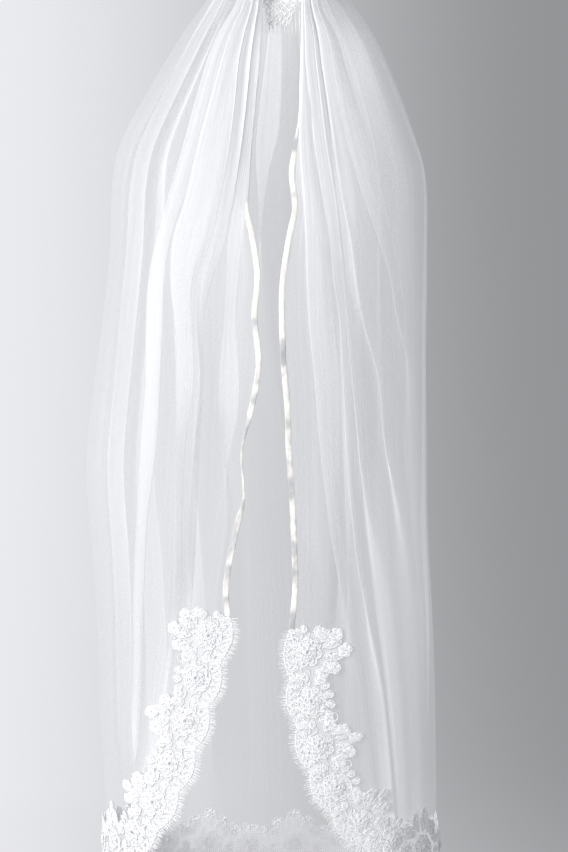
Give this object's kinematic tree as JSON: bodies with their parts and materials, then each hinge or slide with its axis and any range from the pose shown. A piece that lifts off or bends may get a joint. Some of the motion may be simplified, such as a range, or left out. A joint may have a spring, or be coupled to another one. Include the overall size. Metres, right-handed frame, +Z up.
{
  "type": "lace bridal veil",
  "caption": "One-tier soft tulle bridal veil on a hair comb, open at the front, with ribbon-bound front edges and a scalloped floral lace hem.",
  "frame": {"origin": "middle of the comb's bar, where the veil is pinned on", "axes": "+Z up, against the fall of the cloth; -Y the way the wearer faces; +X to the right as seen from the front"},
  "size_m": [0.4995, 0.3058, 1.2859],
  "materials": {
    "tulle": "sheer soft net",
    "satin": "satin",
    "lace": "matte corded thread with small sequins",
    "comb": "clear gloss"
  },
  "bodies": {
    "root": {"comb": "comb", "header_frill": "tulle", "tulle_veil": "tulle", "ribbon_left": "satin", "ribbon_right": "satin", "lace_front_left": "lace", "lace_hem_back": "lace", "lace_front_right": "lace"}
  },
  "joints": []
}
